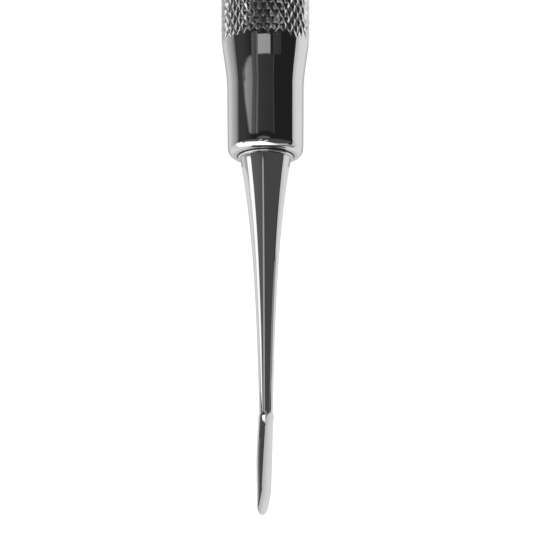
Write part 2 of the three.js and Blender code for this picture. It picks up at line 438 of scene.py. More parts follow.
@dataclass
class Handle:
    """The hollow round handle: alike at both ends, with a nose, a flare and a diamond knurl."""

    setting: Setting
    grip_radius: float = 4.75 * MM
    waist_radius: float = 4.09 * MM
    nose_radius: float = 4.04 * MM
    nose_round_width: float = 0.65 * MM
    nose_round_length: float = 1.06 * MM
    nose_round_steps: int = 16
    nose_steps: int = 3
    # outer radius of the ring of painted shade on each end face
    shaded_ring_radius: float = 3.1 * MM
    flare_start: float = 7.4 * MM
    flare_length: float = 6.9 * MM
    flare_steps: int = 22
    knurl_end: float = 38.5 * MM
    knurl_depth: float = 0.2 * MM
    knurl_angle: float = math.radians(30)
    knurl_fade_start: float = 11.3 * MM
    knurl_fade_length: float = 1.6 * MM
    knurl_wear: float = 0.35
    wear_size: float = 1.1 * MM
    ragged_length: float = 0.45 * MM
    diamonds_around: int = 33
    cells_per_diamond: int = 8
    crest_share: float = 0.2
    cross_depth: float = 0.8
    first_groove: float = 0.3
    band_radius: float = 4.83 * MM
    band_chamfer: float = 0.12 * MM
    bore_radius: float = 2.8 * MM
    socket_radius: float = 2.45 * MM
    socket_depth: float = 14.6 * MM
    mouth_chamfer: float = 0.1 * MM
    smooth_angle: float = math.radians(22)

    @property
    def columns(self) -> int:
        """Number of columns round the handle."""
        return self.diamonds_around * self.cells_per_diamond

    @property
    def row_step(self) -> float:
        """Length of one row of cells in the knurl."""
        across = math.tau * self.grip_radius / self.diamonds_around
        return across / math.tan(self.knurl_angle) / self.cells_per_diamond

    @property
    def band_start(self) -> float:
        """Height of the plain band's edge above the nearer end face."""
        return self.knurl_end + self.row_step / 2

    @property
    def length(self) -> float:
        """Length of the handle between its end faces."""
        return self.setting.rear.y - self.setting.nose.y

    def turned_radius(self, height: float) -> float:
        """Give the turned form its taper and its flare.

        Args:
            height: distance from the nearer end face.

        Returns:
            The radius there.
        """
        if height < self.flare_start:
            return mix(self.nose_radius, self.waist_radius, height / self.flare_start)
        rise = ease((height - self.flare_start) / self.flare_length)
        return mix(self.waist_radius, self.grip_radius, rise)

    def profile(self, along: float) -> float:
        """Give the turned form the rounding of its nose too.

        Args:
            along: distance from the front end face.

        Returns:
            The radius there.
        """
        inwards = max(0.0, 1 - max(along, 0.0) / self.nose_round_length)
        missing = self.nose_round_width * (1 - math.sqrt(1 - inwards**2))
        return self.turned_radius(along) - missing

    def groove_share(self, column: int, row: int) -> float:
        """Return how deep the knurl is cut at a cell corner.

        Args:
            column: number of the column, from the top of the handle.
            row: number of the row, from the end of the knurl.

        Returns:
            Zero on a crest, one at the bottom of a groove.
        """
        depths = []
        start = round(self.first_groove * self.cells_per_diamond)
        for cell, depth in ((column - row + start, 1.0), (column + row + start, self.cross_depth)):
            phase = cell / self.cells_per_diamond
            off_groove = 2 * abs(phase - round(phase))
            depths.append(depth * max(0.0, 1 - off_groove / (1 - self.crest_share)))
        return max(depths)

    def end_outline(self) -> Outline:
        """Draw one end of the handle, from its end face inwards.

        Returns:
            Radius and height of each corner.
        """
        face_radius = self.nose_radius - self.nose_round_width
        centre = (face_radius, self.nose_round_length)
        size = (self.nose_round_width, -self.nose_round_length)
        outline = [(self.socket_radius + self.mouth_chamfer, 0.0), (self.shaded_ring_radius, 0.0)]
        outline += quarter_round(centre, size, self.nose_round_steps)
        heights = spaced(self.nose_round_length, self.flare_start, self.nose_steps)[1:]
        rows = int((self.knurl_end - self.knurl_fade_start) / self.row_step)
        knurl_start = self.knurl_end - rows * self.row_step
        heights += spaced(self.flare_start, knurl_start, self.flare_steps)[1:]
        heights += spaced(knurl_start, self.knurl_end, rows)[1:]
        outline += [(self.turned_radius(height), height) for height in heights]
        outline.append((self.band_radius - self.band_chamfer, self.band_start))
        outline.append((self.band_radius, self.band_start + self.band_chamfer))
        return outline

    def outline(self) -> Outline:
        """Draw the closed outline of the whole handle, with its socket and bore.

        Returns:
            Radius and place along the axis of each corner.
        """
        front = self.end_outline()
        rear = [(radius, self.length - height) for radius, height in reversed(front)]
        rear[-1] = (self.bore_radius + self.mouth_chamfer, self.length)
        step = self.bore_radius - self.socket_radius
        inside = [
            (self.bore_radius, self.length - self.mouth_chamfer),
            (self.bore_radius, self.socket_depth + step),
            (self.socket_radius, self.socket_depth),
            (self.socket_radius, self.mouth_chamfer),
        ]
        return [*front, *rear, *inside, front[0]]

    def knurl_drop(self, place: Vector) -> float:
        """Measure how far the knurl lies below the turned form.

        Args:
            place: a point of the turned form.

        Returns:
            The drop there, none outside the knurl.
        """
        from_nose = place.y - self.setting.nose.y
        height = min(from_nose, self.length - from_nose)
        first = self.knurl_fade_start - self.ragged_length
        last = self.knurl_end + self.row_step / 4
        if not first <= height <= last or self.setting.off_axis(place) < self.waist_radius:
            return 0.0
        column = round(self.setting.turn(place) / math.tau * self.columns)
        row = round((self.knurl_end - height) / self.row_step)
        wear = noise.noise(place / self.wear_size)
        start = self.knurl_fade_start + self.ragged_length * wear
        fade = ease((height - start) / self.knurl_fade_length)
        depth = self.knurl_depth * (1 - self.knurl_wear * (1 + wear) / 2)
        cut = self.grip_radius - depth * self.groove_share(column, row) * fade
        return max(0.0, self.turned_radius(height) - cut)

    def roll_knurl(self, piece: bpy.types.Object) -> None:
        """Press the diamonds into the turned bar.

        Args:
            piece: the handle, in object mode with its faces pointing outwards.
        """
        grooves = piece.vertex_groups.new(name="grooves")
        drops = [self.knurl_drop(vertex.co) for vertex in piece.data.vertices]
        for index, drop in enumerate(drops):
            if drop > 0:
                grooves.add([index], drop / self.knurl_depth, "REPLACE")
        bpy.ops.object.mode_set(mode="EDIT")
        in_band = [drop > 0 for drop in drops]

        def crosses(face: bmesh.types.BMFace) -> bool:
            """Tell a face of four corners that touches the knurl."""
            return len(face.verts) == 4 and any(in_band[vertex.index] for vertex in face.verts)

        def first_diagonal(face: bmesh.types.BMFace) -> bool:
            """Tell a face that folds along its first diagonal.

            Args:
                face: a face of the handle.

            Returns:
                Whether it does.
            """
            if not crosses(face):
                return False
            depth = [drops[vertex.index] for vertex in face.verts]
            return abs(depth[0] - depth[2]) < abs(depth[1] - depth[3])

        Modelling.select_faces(piece, first_diagonal)
        bpy.ops.mesh.quads_convert_to_tris(quad_method="FIXED")
        Modelling.select_faces(piece, crosses)
        bpy.ops.mesh.quads_convert_to_tris(quad_method="FIXED_ALTERNATE")
        bpy.ops.object.mode_set(mode="OBJECT")
        press = piece.modifiers.new("knurl", "DISPLACE")
        press.vertex_group = grooves.name
        press.mid_level = 0.0
        press.strength = -self.knurl_depth
        bpy.ops.object.modifier_apply(modifier=press.name)
        piece.vertex_groups.clear()

    def build(self) -> bpy.types.Object:
        """Turn, bore and knurl the handle.

        Returns:
            The finished piece.
        """
        piece = Modelling.turn("handle_body", self.outline(), self.setting.nose, self.columns)
        Modelling.close(piece, self.smooth_angle)
        self.roll_knurl(piece)
        bpy.ops.object.shade_smooth_by_angle(angle=self.smooth_angle)
        self.dress(piece)
        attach(piece, BODY)
        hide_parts("handle")
        return piece

    def dress(self, piece: bpy.types.Object) -> None:
        """Give the knurled bands their own finish, and paint shade on the rings beside the bead and the
        plug.

        Args:
            piece: the knurled handle, in object mode.
        """
        piece.data.materials.append(PolishedStainless().material())
        piece.data.materials.append(KnurledStainless().material())
        # painted shade: a dark, dull steel for the rings between the end faces and the bead and plug
        piece.data.materials.append(PaintedShadeStainless().material())
        bpy.ops.object.mode_set(mode="EDIT")
        least = self.setting.nose.y + self.knurl_fade_start
        most = self.setting.nose.y + self.band_start
        middle = (self.setting.nose.y + self.setting.rear.y) / 2

        def knurled(face: bmesh.types.BMFace) -> bool:
            """Tell a face of the knurl.

            Args:
                face: a face of the handle.

            Returns:
                Whether it is one.
            """
            centre = face.calc_center_median()
            along = middle - abs(centre.y - middle)
            outside = self.setting.off_axis(centre) > self.waist_radius
            return least < along < most and outside and len(face.verts) == 3

        def in_painted_shade_ring(face: bmesh.types.BMFace) -> bool:
            """Tell a face of the rings of painted shade beside the bead and the plug.

            Args:
                face: a face of the handle.

            Returns:
                Whether it is one.
            """
            centre = face.calc_center_median()
            at_end = abs(centre.y - middle) > self.length / 2 - self.mouth_chamfer / 2
            return at_end and self.setting.off_axis(centre) < self.shaded_ring_radius

        for index, wanted in enumerate((knurled, in_painted_shade_ring), start=1):
            Modelling.select_faces(piece, wanted)
            piece.active_material_index = index
            bpy.ops.object.material_slot_assign()
        bpy.ops.object.mode_set(mode="OBJECT")


@dataclass
class Blade:
    """The ground spatula blade that the neck of the shank ends in, in sections across its length.

    Places along it are measured from the nose of the handle. Its face looks up until the whole
    tip is turned round the tool's axis.
    """

    start: float = 28.3 * MM
    end: float = 39.28 * MM
    neck_radius: float = 0.73 * MM
    half_width: float = 0.89 * MM
    heel_half_width: float = 0.65 * MM
    heel_length: float = 0.4 * MM
    widest: float = 8.55 * MM
    heel_corner: float = 0.36 * MM
    tip_corner: float = 0.3 * MM
    corner_stretch: float = 2.1
    back_bulge: float = 0.85 * MM
    bulge_share: float = 0.45
    shoulder_share: float = 0.8
    back_shoulder: float = 0.77 * MM
    back_tip: float = 0.65 * MM
    edge_thickness: float = 0.04 * MM
    scoop_start: float = 0.15 * MM
    scoop_length: float = 1.7 * MM
    scoop_depth: float = 0.36 * MM
    face_fall: float = 0.35 * MM
    bevel_length: float = 2.6 * MM
    bevel_sag: float = 0.425
    crown: float = 0.08 * MM
    crown_share: float = 0.25
    columns: int = 128
    face_columns: int = 16
    approach: float = 3 * MM
    least_turn: float = math.radians(6)
    chain_steps: int = 40
    shoulder_steps: int = 10
    approach_steps: int = 8
    scoop_steps: int = 44
    face_steps: int = 24
    bevel_steps: int = 12
    end_steps: int = 22

    @property
    def length(self) -> float:
        """Length of the blade."""
        return self.end - self.start

    def back(self, along: float) -> float:
        """Shape the back, with its bulge and its rise to the tip.

        Args:
            along: a place along the tool.

        Returns:
            Depth of the back below the axis.
        """
        share = (along - self.start) / self.length
        knots = [
            (0.0, self.neck_radius),
            (self.bulge_share, self.back_bulge),
            (self.shoulder_share, self.back_shoulder),
            (1.0, self.back_tip),
        ]
        for (low, depth), (high, next_depth) in zip(knots, knots[1:]):
            if share <= high:
                return mix(depth, next_depth, ease((share - low) / (high - low)))
        return self.back_tip

    def squareness(self, along: float) -> float:
        """Return how far the round neck has turned into the flat-sided blade, from none to one."""
        return ease((along - self.start) / self.heel_length)

    def width(self, along: float) -> float:
        """Shape the sides, with their flare and the rounded end.

        Args:
            along: a place along the tool.

        Returns:
            Half the width.
        """
        past = along - self.start
        heel = mix(self.neck_radius, self.heel_half_width, self.squareness(along))
        spread = min(max(past / self.widest, 0.0), 1.0)
        full = mix(heel, self.half_width, 1 - (1 - spread) ** 2)
        from_end = self.end - along
        if from_end < self.half_width:
            full *= math.sqrt(max(0.0, 1 - (1 - from_end / self.half_width) ** 2))
        return full

    def face(self, along: float) -> float:
        """Shape the ground face: the scoop, the long flat and the bevel.

        Args:
            along: a place along the tool.

        Returns:
            Height of the face above the axis.
        """
        past = along - self.start - self.scoop_start
        low = self.neck_radius - self.scoop_depth
        if past < 0:
            return self.neck_radius
        if past < self.scoop_length:
            wheel = (self.scoop_depth**2 + self.scoop_length**2) / (2 * self.scoop_depth)
            reach = self.scoop_length - past
            return low + wheel - math.sqrt(wheel**2 - reach**2)
        bevel_start = self.end - self.bevel_length
        foot = low - self.face_fall
        if along < bevel_start:
            flat_start = self.start + self.scoop_start + self.scoop_length
            return mix(low, foot, (along - flat_start) / (bevel_start - flat_start))
        share = (along - bevel_start) / self.bevel_length
        tip = self.edge_thickness - self.back_tip
        middle = mix(foot, tip, self.bevel_sag)
        return mix(mix(foot, middle, share), mix(middle, tip, share), share)

    def chain(self, along: float, top: float) -> list[tuple[float, float]]:
        """Return the right half of a section below its face.

        Args:
            along: the place of the section.
            top: height at which the face cuts the side.

        Returns:
            Points from the arris down the side and round the corner to the middle of the back.
        """
        square = self.squareness(along)
        share = (along - self.start) / self.length
        corner = mix(self.neck_radius, mix(self.heel_corner, self.tip_corner, share), square)
        width, depth = self.width(along), self.back(along)
        height = max(depth + top, self.edge_thickness)
        corner = min(corner, width, height)
        rise = min(corner * mix(1, self.corner_stretch, square), height)
        shoulder = self.neck_radius - corner
        inner = width - corner
        points = [(width, top)]
        if top > shoulder:
            first = math.asin(min((top - shoulder) / corner, 1.0))
            turns = spaced(first, 0, self.shoulder_steps)
            points = [(inner + corner * math.cos(t), shoulder + corner * math.sin(t)) for t in turns]
        for turn in spaced(0, math.pi / 2, self.chain_steps):
            points.append((inner + corner * math.cos(turn), -depth + rise - rise * math.sin(turn)))
        points.append((0.0, -depth))
        return points

    def section(self, along: float) -> list[tuple[float, float]]:
        """Draw a section, with one point for each column.

        Args:
            along: the place of the section.

        Returns:
            How far across and up each point lies, from the top round to the right.
        """
        quarter = self.columns // 2 - self.face_columns
        if along < self.start:
            narrowing = ease((along - self.start + self.approach) / self.approach)
            limit = mix(math.tau * self.face_columns / self.columns, self.least_turn, narrowing)
            radius = self.neck_radius
            turns = [limit * step / self.face_columns for step in range(self.face_columns)]
            turns += spaced(limit, math.pi, quarter)
            half = [(radius * math.sin(turn), radius * math.cos(turn)) for turn in turns]
        else:
            least = self.neck_radius * math.cos(self.least_turn)
            top = min(self.face(along), least)
            below = resampled(self.chain(along, top), quarter)
            arris = below[0][0]
            crown = min(self.crown, (self.neck_radius - top) * self.crown_share)
            crown *= min(1.0, arris / self.half_width)
            half = []
            for step in range(self.face_columns):
                share = step / self.face_columns
                half.append((arris * share, top + crown * (1 - share**2)))
            half += below
        left = [(-across, up) for across, up in reversed(half[1:-1])]
        return [*half, *left]

    def places(self) -> list[float]:
        """Space the sections, closer where the form turns quickly.

        Returns:
            Their places, in order.
        """
        scoop_end = self.start + self.scoop_start + self.scoop_length
        bevel_start = self.end - self.bevel_length
        round_start = self.end - self.half_width
        stops = (self.start - self.approach, self.start, scoop_end, bevel_start, round_start)
        counts = (self.approach_steps, self.scoop_steps, self.face_steps, self.bevel_steps)
        places = []
        for low, high, count in zip(stops, stops[1:], counts):
            places += spaced(low, high, count)[:-1]
        turns = spaced(0, math.pi / 2, self.end_steps)[:-1]
        places += [round_start + self.half_width * math.sin(turn) for turn in turns]
        return places


def resampled(points: Sequence[tuple[float, float]], count: int) -> list[tuple[float, float]]:
    """Space the points of a chain evenly.

    Args:
        points: corners of the chain.
        count: number of steps wanted.

    Returns:
        count + 1 points along the same chain.
    """
    lengths = [0.0]
    for before, after in zip(points, points[1:]):
        lengths.append(lengths[-1] + math.dist(before, after))
    placed = []
    edge = 0
    for target in spaced(0, lengths[-1], count):
        while edge < len(points) - 2 and lengths[edge + 1] < target:
            edge += 1
        span = lengths[edge + 1] - lengths[edge]
        share = (target - lengths[edge]) / span if span > 0 else 0.0
        before, after = points[edge], points[edge + 1]
        placed.append((mix(before[0], after[0], share), mix(before[1], after[1], share)))
    return placed


@dataclass
class WorkingTip:
    """The working tip: grooved tang, seating bead, tapered shank and ground blade in one piece."""

    setting: Setting
    blade: Blade = field(default_factory=Blade)
    blade_turn: float = math.radians(55)
    tang_length: float = 14 * MM
    tang_radius: float = 2.4 * MM
    tang_chamfer: float = 0.4 * MM
    groove_count: int = 3
    groove_depth: float = 0.15 * MM
    groove_width: float = 0.8 * MM
    bead_radius: float = 0.14 * MM
    bead_proud: float = 0.2 * MM
    bead_steps: int = 16
    undercut: float = 0.07 * MM
    shank_radius: float = 2.76 * MM
    taper_length: float = 12.4 * MM
    shank_steps: int = 64
    shank_crowding: float = 1.4
    smooth_angle: float = math.radians(28)

    def shank(self, along: float) -> float:
        """Shape the shank, which narrows quickly at first and slowly at the neck.

        Args:
            along: distance from the nose, towards the blade.

        Returns:
            The radius there.
        """
        last = math.exp(-self.blade.start / self.taper_length)
        left = (math.exp(-along / self.taper_length) - last) / (1 - last)
        return mix(self.blade.neck_radius, self.shank_radius, left)

    def profile(self, along: float) -> float:
        """Return the radius of the shank at a place along the tool, negative past the nose."""
        return self.shank(-along)

    def outline(self) -> Outline:
        """Draw the turned part, from the end of the tang to where the forged part starts.

        Returns:
            Radius and place along the axis of each corner.
        """
        outline = [
            (0.0, self.tang_length),
            (self.tang_radius - self.tang_chamfer, self.tang_length),
            (self.tang_radius, self.tang_length - self.tang_chamfer),
        ]
        pitch = (self.tang_length - self.tang_chamfer) / (self.groove_count + 1)
        bottom = self.tang_radius - self.groove_depth
        for groove in range(self.groove_count, 0, -1):
            middle = groove * pitch
            outline.append((self.tang_radius, middle + self.groove_width / 2))
            outline.append((bottom, middle + self.groove_width / 2 - self.groove_depth))
            outline.append((bottom, middle - self.groove_width / 2 + self.groove_depth))
            outline.append((self.tang_radius, middle - self.groove_width / 2))
        outline.append((self.tang_radius, 0.0))
        centre = self.shank_radius + self.bead_proud - self.bead_radius
        for turn in spaced(0, math.pi, self.bead_steps):
            along = self.bead_radius * (math.cos(turn) - 1)
            outline.append((centre + self.bead_radius * math.sin(turn), along))
        bead_end = 2 * self.bead_radius
        outline.append((self.shank(bead_end) - self.undercut, -bead_end))
        root = bead_end + self.undercut
        stop = self.blade.start - self.blade.approach
        for share in spaced(0, 1, self.shank_steps):
            place = mix(root, stop, share**self.shank_crowding)
            outline.append((self.shank(place), -place))
        return outline

    def forge(self, piece: bpy.types.Object) -> None:
        """Extrude the open end of the shank, section by section, into the blade.

        Args:
            piece: the turned part, in edit mode.
        """
        bpy.ops.mesh.select_mode(type="EDGE")
        bpy.ops.mesh.select_all(action="DESELECT")
        bpy.ops.mesh.select_non_manifold(extend=False, use_wire=False, use_multi_face=False)
        stop = self.blade.start - self.blade.approach
        last = stop
        for place in self.blade.places()[1:]:
            step = {"value": (0, last - place, 0)}
            bpy.ops.mesh.extrude_edges_move(TRANSFORM_OT_translate=step)
            self.shape_ring(piece, place)
            last = place
        bpy.ops.mesh.edge_face_add()

    def shape_ring(self, piece: bpy.types.Object, place: float) -> None:
        """Move the selected ring's points onto the blade's section.

        Args:
            piece: the tip, in edit mode with one ring selected.
            place: where the ring lies along the tool.
        """
        mesh = bmesh.from_edit_mesh(piece.data)
        section = self.blade.section(place)
        middle = self.setting.nose - Vector((0, place, 0))
        if place < self.blade.start:
            swell = self.shank(place) / self.blade.neck_radius
            section = [(across * swell, up * swell) for across, up in section]
        column = mesh.verts.layers.int["column"]
        to_piece = piece.matrix_world.inverted()
        for vertex in mesh.verts:
            if vertex.select:
                across, up = section[vertex[column]]
                vertex.co = to_piece @ (middle + Vector((across, 0, up)))
        bmesh.update_edit_mesh(piece.data)

    def number_columns(self, piece: bpy.types.Object) -> None:
        """Number the points of the open ring, from its top round to the right.

        Args:
            piece: the turned part, in edit mode.
        """
        mesh = bmesh.from_edit_mesh(piece.data)
        layer = mesh.verts.layers.int.new("column")
        mesh.verts.ensure_lookup_table()
        for vertex in mesh.verts:
            place = piece.matrix_world @ vertex.co
            share = self.setting.turn(place) / math.tau
            vertex[layer] = round(share * self.blade.columns) % self.blade.columns
        bmesh.update_edit_mesh(piece.data)

    def build(self) -> bpy.types.Object:
        """Turn the tang and shank, forge the blade and turn its face to its side.

        Returns:
            The finished piece.
        """
        base = self.setting.nose
        piece = Modelling.turn("tip_with_blade", self.outline(), base, self.blade.columns)
        self.number_columns(piece)
        self.forge(piece)
        bpy.ops.mesh.select_all(action="SELECT")
        bpy.ops.mesh.remove_doubles(threshold=MERGE_DISTANCE)
        settings = {"orient_axis": "Y", "orient_type": "GLOBAL", "center_override": tuple(base)}
        bpy.ops.transform.rotate(value=-self.blade_turn, **settings)
        Modelling.close(piece, self.smooth_angle)
        piece.data.attributes.remove(piece.data.attributes["column"])
        piece.data.materials.append(PolishedStainless(name="buffed_tip_steel").material())
        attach(piece, BODY)
        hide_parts("working_tip")
        return piece


@dataclass
class EndPlug:
    """The plug that closes the rear of the handle."""

    setting: Setting
    spigot_length: float = 7 * MM
    spigot_radius: float = 2.75 * MM
    spigot_chamfer: float = 0.4 * MM
    head_radius: float = 3.3 * MM
    head_round: float = 0.6 * MM
    round_steps: int = 12
    columns: int = 128
    smooth_angle: float = math.radians(28)

    @property
    def head_height(self) -> float:
        """Height of the head above the end face of the handle."""
        return self.setting.plug_end - self.setting.rear.y

    def outline(self) -> Outline:
        """Draw the plug, from its inner end to the middle of its head.

        Returns:
            Radius and place along the axis of each corner.
        """
        outline = [
            (0.0, -self.spigot_length),
            (self.spigot_radius - self.spigot_chamfer, -self.spigot_length),
            (self.spigot_radius, self.spigot_chamfer - self.spigot_length),
            (self.spigot_radius, 0.0),
            (self.head_radius, 0.0),
        ]
        middle = (self.head_radius - self.head_round, self.head_height - self.head_round)
        corner = quarter_round(middle, (self.head_round, self.head_round), self.round_steps)
        outline += reversed(corner)
        outline.append((0.0, self.head_height))
        return outline

    def build(self) -> bpy.types.Object:
        """Turn the plug.

        Returns:
            The finished piece.
        """
        piece = Modelling.turn("rear_plug", self.outline(), self.setting.rear, self.columns)
        Modelling.close(piece, self.smooth_angle)
        piece.data.materials.append(PolishedStainless(name="buffed_plug_steel").material())
        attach(piece, BODY)
        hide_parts("end_plug")
        return piece


def graded(tree: bpy.types.NodeTree, value: bpy.types.NodeSocket, stops: Stops) -> bpy.types.NodeSocket:
    """Grade a value through straight steps.

    Args:
        tree: the node tree.
        value: the socket to grade.
        stops: value and result of each corner, in rising order, with results up to one.

    Returns:
        The graded result as a grey.
    """
    low, high = stops[0][0], stops[-1][0]
    share = add_node(tree, "ShaderNodeMapRange", {"From Min": low, "From Max": high}, {"Value": value})
    ramp = add_node(tree, "ShaderNodeValToRGB", links={"Fac": share.outputs["Result"]})
    steps = ramp.color_ramp.elements
    while len(steps) < len(stops):
        steps.new(1.0)
    for step, (place, result) in zip(steps, stops):
        step.position = (place - low) / (high - low)
        step.color = (result, result, result, 1.0)
    return ramp.outputs["Color"]


@dataclass(frozen=True)
class View:
    """The camera's place, and how the tool mirrors what stands round it."""

    setting: Setting
    elevation: float = math.radians(74)
    distance: float = 600 * MM
    aim: tuple[float, float] = (0.08 * MM, -12.25 * MM)
    roll: float = math.radians(-0.1)
    frame_width: float = 56.64 * MM
    slope_step: float = 0.01 * MM

    @property
    def place(self) -> Vector:
        """Where the camera stands."""
        aim = self.setting.nose + Vector((self.aim[0], self.aim[1], 0))
        return aim + Vector((0, -math.cos(self.elevation), math.sin(self.elevation))) * self.distance

    def mirrored(self, profile: Profile, across: float, along: float) -> tuple[Vector, Vector]:
        """Follow the camera's line of sight off the upper side of a turned form.

        Args:
            profile: radius of the form at each place along the tool.
            across: how far the spot lies from the axis towards +X.
            along: how far it lies from the nose, towards the handle.

        Returns:
            The spot, and the direction of the mirrored line of sight.
        """
        radius = profile(along)
        rise = profile(along + self.slope_step) - profile(along - self.slope_step)
        up = math.sqrt(max(0.0, radius**2 - across**2))
        spot = self.setting.nose + Vector((across, along, up))
        normal = Vector((across / radius, -rise / (2 * self.slope_step), up / radius)).normalized()
        return spot, (spot - self.place).normalized().reflect(normal)


@dataclass(frozen=True)
class Card:
    """A lit card that the steel mirrors, placed by the spots where its corners show.

    A spot is its distance across from the tool's axis and along the tool from the nose, both in
    millimetres. The card is flat, and square to a line from the axis. Its light may be graded
    from its first side to its last.
    """

    name: str
    profile: Profile
    distance: float
    spots: tuple[tuple[float, float], ...]
    radiance: float
    far_radiance: float | None = None

    def build(self, view: View) -> None:
        """Draw the card and light it.

        Args:
            view: the camera's view of the tool.
        """
        rays = [view.mirrored(self.profile, across * MM, along * MM) for across, along in self.spots]
        out = Vector((0, 0, 0))
        for _, ray in rays:
            out += Vector((ray.x, 0, ray.z)).normalized()
        out.normalize()
        nose = view.setting.nose
        points = []
        for spot, ray in rays:
            reach = (self.distance - (spot - nose).dot(out)) / ray.dot(out)
            points.append(spot + ray * reach)
        across = Vector((out.z, 0, -out.x))
        card = face_of(self.name, points, nose)
        places = [point.dot(across) for point in points]
        last = self.radiance if self.far_radiance is None else self.far_radiance
        stops = ((min(places), self.radiance), (max(places), last))
        card.data.materials.append(glow(self.name, across, stops))


def face_of(name: str, points: Sequence[Vector], towards: Vector) -> bpy.types.Object:
    """Draw a flat card, seen only in reflections and only from its front.

    Args:
        name: the card's name.
        points: its corners.
        towards: a point before its front.

    Returns:
        The card.
    """
    card = Modelling.draw(name, points)
    bpy.ops.mesh.select_all(action="SELECT")
    bpy.ops.mesh.edge_face_add()
    bpy.ops.object.mode_set(mode="OBJECT")
    bpy.ops.object.transform_apply(location=True, rotation=True, scale=True)
    front = card.data.polygons[0]
    if front.normal.dot(towards - front.center) < 0:
        bpy.ops.object.mode_set(mode="EDIT")
        bpy.ops.mesh.select_all(action="SELECT")
        bpy.ops.mesh.flip_normals()
        bpy.ops.object.mode_set(mode="OBJECT")
    card.visible_camera = False
    card.visible_diffuse = False
    card.visible_shadow = False
    card.visible_transmission = False
    return card


def glow(name: str, direction: Vector, stops: Stops) -> bpy.types.Material:
    """Return a material that shines, graded along one direction, and can't be seen from behind.

    Args:
        name: the material's name.
        direction: the direction.
        stops: place along it and radiance there, in rising order.

    Returns:
        The material.
    """
    material = bpy.data.materials.new(name)
    material.use_nodes = True
    tree = material.node_tree
    tree.nodes.clear()
    place = add_node(tree, "ShaderNodeTexCoord").outputs["Object"]
    settings = {"operation": "DOT_PRODUCT", 1: tuple(direction)}
    measured = add_node(tree, "ShaderNodeVectorMath", settings, {0: place})
    peak = max(radiance for _, radiance in stops)
    shares = tuple((where, radiance / peak) for where, radiance in stops)
    shade = graded(tree, measured.outputs["Value"], shares)
    shine = add_node(tree, "ShaderNodeEmission", {"Strength": peak}, {"Color": shade})
    clear = add_node(tree, "ShaderNodeBsdfTransparent")
    behind = add_node(tree, "ShaderNodeNewGeometry").outputs["Backfacing"]
    faces = {0: behind, 1: shine.outputs["Emission"], 2: clear.outputs["BSDF"]}
    shown = add_node(tree, "ShaderNodeMixShader", links=faces)
    add_node(tree, "ShaderNodeOutputMaterial", links={"Surface": shown.outputs["Shader"]})
    return material


def rectangle(low: Corner, high: Corner) -> tuple[Corner, ...]:
    """Return the corners of a rectangle that is square to the frame.

    Args:
        low: one corner.
        high: the corner across from it, alike in one of its three places.

    Returns:
        All four corners.
    """
    first, second = (axis for axis in range(3) if low[axis] != high[axis])
    after, before = list(low), list(low)
    after[first] = high[first]
    before[second] = high[second]
    return low, tuple(after), high, tuple(before)


def even(radiance: float) -> Stops:
    """Return the stops of a card that shines evenly."""
    return (0, radiance), (1, radiance)


@dataclass(frozen=True)
class Panel:
    """A light or a shade that stands beside the tool.

    Its corners and the places of its stops are in millimetres from the nose's middle.
    """

    name: str
    corners: tuple[Corner, ...]
    stops: Stops
    graded_along: Vector = field(default_factory=UP.copy)

    def build(self, nose: Vector) -> None:
        """Draw the panel and light it.

        Args:
            nose: the middle of the handle's front end.
        """
        panel = face_of(self.name, [nose + Vector(corner) * MM for corner in self.corners], nose)
        base = nose.dot(self.graded_along)
        places = tuple((base + place * MM, radiance) for place, radiance in self.stops)
        panel.data.materials.append(glow(self.name, self.graded_along, places))


